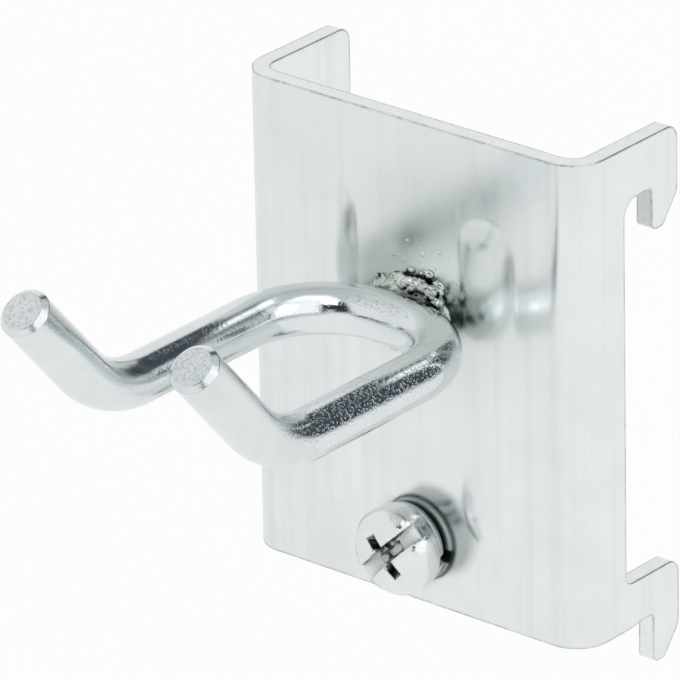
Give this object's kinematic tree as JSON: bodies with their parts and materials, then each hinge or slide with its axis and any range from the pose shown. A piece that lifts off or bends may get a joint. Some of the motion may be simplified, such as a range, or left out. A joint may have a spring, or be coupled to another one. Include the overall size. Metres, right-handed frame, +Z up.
{
  "type": "double hook",
  "caption": "Double hook for a square-hole tool panel: folded base plate with hooking lugs, bent wire with upturned prongs, and a locking screw.",
  "frame": {"origin": "middle of the plane in which the rear edges of both flanges touch the panel, halfway up the base plate", "axes": "+X across the plate, +Y into the panel, +Z up along the lugs' column of holes; the prongs point to -Y"},
  "size_m": [0.035, 0.05, 0.0462],
  "materials": {
    "plate_zinc": "bright zinc plating over folded sheet steel",
    "wire_zinc": "bright zinc plating over drawn steel wire",
    "weld_metal": "rough plated weld metal",
    "screw_zinc": "bright zinc plating",
    "washer_zinc": "dull zinc plating over spring steel"
  },
  "bodies": {
    "root": {"base_plate": "plate_zinc", "double_prong": "wire_zinc", "weld_bead": "weld_metal", "locking_screw": "screw_zinc", "spring_washer": "washer_zinc"}
  },
  "joints": []
}
